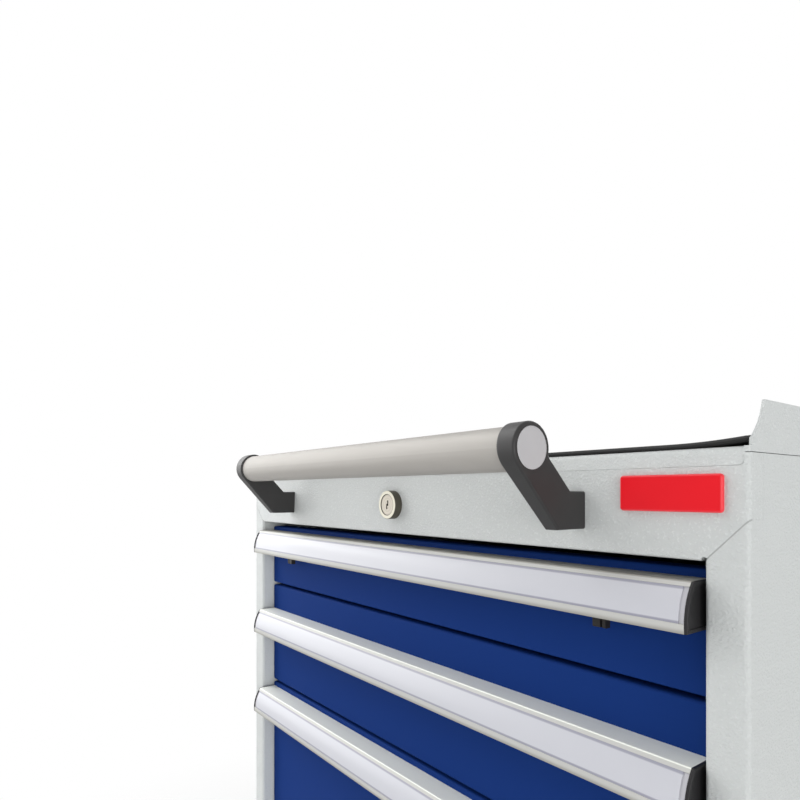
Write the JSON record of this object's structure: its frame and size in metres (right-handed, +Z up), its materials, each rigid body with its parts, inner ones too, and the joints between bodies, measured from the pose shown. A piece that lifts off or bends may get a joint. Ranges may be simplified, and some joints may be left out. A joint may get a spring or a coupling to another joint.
{
  "type": "mobile drawer cabinet",
  "caption": "Workshop drawer cabinet on castors: grey steel body, recessed blue fronts with full-width aluminium grips, push handle, central lock and rimmed rubber-mat deck.",
  "frame": {"origin": "on the floor, under the middle of the cabinet's bounding box", "axes": "+Z up, +X to the right as seen from the front, the drawers open towards -Y"},
  "size_m": [0.608, 0.6714, 0.985],
  "materials": {
    "body_grey": "light grey powder coat, fine orange peel",
    "front_blue": "gentian blue powder coat, fine orange peel",
    "tray_grey": "light grey powder coat, smooth",
    "runner_zinc": "bright zinc plated",
    "grip_aluminium": "satin anodised",
    "label_white": "blank label strip behind clear film",
    "plastic_charcoal": "fine-textured charcoal",
    "cap_grey": "satin light grey",
    "lock_nickel": "satin nickel plated",
    "badge_red": "clear domed, bare",
    "mat_rubber": "fine-ribbed black",
    "castor_zinc": "bright zinc plated",
    "wheel_rubber": "dark grey rubber tyre on a plastic hub",
    "pedal_plastic": "black, ribbed tread"
  },
  "bodies": {
    "cabinet": {"left_side_panel": "body_grey", "right_side_panel": "body_grey", "back_panel": "body_grey", "top_rail": "body_grey", "base_pan": "body_grey", "top_deck": "body_grey", "rubber_mat": "mat_rubber", "cabinet_slides": "runner_zinc", "lock_case": "lock_nickel", "handle_tube": "grip_aluminium", "handle_brackets": "plastic_charcoal", "handle_end_caps": "cap_grey", "badge": "badge_red", "swivel_castor_heads": "castor_zinc", "fixed_castor_forks": "castor_zinc", "fixed_axles": "castor_zinc"},
    "lock": {"lock_plug": "lock_nickel"},
    "locking_bar": {"lock_bar": "runner_zinc"},
    "drawer_1": {"drawer_1_front": "front_blue", "drawer_1_tray": "tray_grey", "drawer_1_grip": "grip_aluminium", "drawer_1_label": "label_white", "drawer_1_grip_caps": "plastic_charcoal", "drawer_1_clips": "plastic_charcoal", "drawer_1_runners": "runner_zinc"},
    "middle_1": {"drawer_1_middle_runners": "runner_zinc"},
    "drawer_2": {"drawer_2_front": "front_blue", "drawer_2_tray": "tray_grey", "drawer_2_grip": "grip_aluminium", "drawer_2_label": "label_white", "drawer_2_grip_caps": "plastic_charcoal", "drawer_2_clips": "plastic_charcoal", "drawer_2_runners": "runner_zinc"},
    "middle_2": {"drawer_2_middle_runners": "runner_zinc"},
    "drawer_3": {"drawer_3_front": "front_blue", "drawer_3_tray": "tray_grey", "drawer_3_grip": "grip_aluminium", "drawer_3_label": "label_white", "drawer_3_grip_caps": "plastic_charcoal", "drawer_3_clips": "plastic_charcoal", "drawer_3_runners": "runner_zinc"},
    "middle_3": {"drawer_3_middle_runners": "runner_zinc"},
    "drawer_4": {"drawer_4_front": "front_blue", "drawer_4_tray": "tray_grey", "drawer_4_grip": "grip_aluminium", "drawer_4_label": "label_white", "drawer_4_grip_caps": "plastic_charcoal", "drawer_4_clips": "plastic_charcoal", "drawer_4_runners": "runner_zinc"},
    "middle_4": {"drawer_4_middle_runners": "runner_zinc"},
    "castor_left": {"swivel_fork_left": "castor_zinc", "swivel_axle_left": "castor_zinc"},
    "front_roller_left": {"front_wheel_left": "wheel_rubber"},
    "rear_roller_left": {"rear_wheel_left": "wheel_rubber"},
    "brake_left": {"brake_pedal_left": "pedal_plastic"},
    "castor_right": {"swivel_fork_right": "castor_zinc", "swivel_axle_right": "castor_zinc"},
    "front_roller_right": {"front_wheel_right": "wheel_rubber"},
    "rear_roller_right": {"rear_wheel_right": "wheel_rubber"},
    "brake_right": {"brake_pedal_right": "pedal_plastic"}
  },
  "joints": [
    {"name": "lock_turn", "type": "hinge", "parent": "cabinet", "child": "lock", "pos_m": [0, -0.2693, 0.925], "axis": [0, 1, 0], "range_deg": [0, 90]},
    {"name": "locking_bar_drop", "type": "slide", "parent": "cabinet", "child": "locking_bar", "axis": [0, 0, -1], "range_m": [0, 0.0099]},
    {"name": "drawer_1_slide", "type": "slide", "parent": "cabinet", "child": "drawer_1", "axis": [0, -1, 0], "range_m": [0, 0.5]},
    {"name": "middle_1_slide", "type": "slide", "parent": "cabinet", "child": "middle_1", "axis": [0, -1, 0], "range_m": [0, 0.25]},
    {"name": "drawer_2_slide", "type": "slide", "parent": "cabinet", "child": "drawer_2", "axis": [0, -1, 0], "range_m": [0, 0.5]},
    {"name": "middle_2_slide", "type": "slide", "parent": "cabinet", "child": "middle_2", "axis": [0, -1, 0], "range_m": [0, 0.25]},
    {"name": "drawer_3_slide", "type": "slide", "parent": "cabinet", "child": "drawer_3", "axis": [0, -1, 0], "range_m": [0, 0.5]},
    {"name": "middle_3_slide", "type": "slide", "parent": "cabinet", "child": "middle_3", "axis": [0, -1, 0], "range_m": [0, 0.25]},
    {"name": "drawer_4_slide", "type": "slide", "parent": "cabinet", "child": "drawer_4", "axis": [0, -1, 0], "range_m": [0, 0.5]},
    {"name": "middle_4_slide", "type": "slide", "parent": "cabinet", "child": "middle_4", "axis": [0, -1, 0], "range_m": [0, 0.25]},
    {"name": "castor_left_swivel", "type": "hinge", "parent": "cabinet", "child": "castor_left", "pos_m": [-0.232, -0.1513, 0.16], "axis": [0, 0, 1], "continuous": true},
    {"name": "front_wheel_left_spin", "type": "hinge", "parent": "castor_left", "child": "front_roller_left", "pos_m": [-0.232, -0.1913, 0.0625], "axis": [1, 0, 0], "continuous": true},
    {"name": "rear_wheel_left_spin", "type": "hinge", "parent": "cabinet", "child": "rear_roller_left", "pos_m": [-0.232, 0.2477, 0.0625], "axis": [1, 0, 0], "continuous": true},
    {"name": "brake_left_press", "type": "hinge", "parent": "castor_left", "child": "brake_left", "pos_m": [-0.232, -0.23926, 0.13049], "axis": [1, 0, 0], "range_deg": [0, 15]},
    {"name": "castor_right_swivel", "type": "hinge", "parent": "cabinet", "child": "castor_right", "pos_m": [0.232, -0.1513, 0.16], "axis": [0, 0, 1], "continuous": true},
    {"name": "front_wheel_right_spin", "type": "hinge", "parent": "castor_right", "child": "front_roller_right", "pos_m": [0.232, -0.1913, 0.0625], "axis": [1, 0, 0], "continuous": true},
    {"name": "rear_wheel_right_spin", "type": "hinge", "parent": "cabinet", "child": "rear_roller_right", "pos_m": [0.232, 0.2477, 0.0625], "axis": [1, 0, 0], "continuous": true},
    {"name": "brake_right_press", "type": "hinge", "parent": "castor_right", "child": "brake_right", "pos_m": [0.232, -0.23926, 0.13049], "axis": [1, 0, 0], "range_deg": [0, 15]}
  ],
  "couplings": [
    {"joint": "lock_turn", "follows": "locking_bar_drop", "rad_per_m": 158.67},
    {"joint": "middle_1_slide", "follows": "drawer_1_slide", "ratio": 0.5},
    {"joint": "middle_2_slide", "follows": "drawer_2_slide", "ratio": 0.5},
    {"joint": "middle_3_slide", "follows": "drawer_3_slide", "ratio": 0.5},
    {"joint": "middle_4_slide", "follows": "drawer_4_slide", "ratio": 0.5}
  ]
}
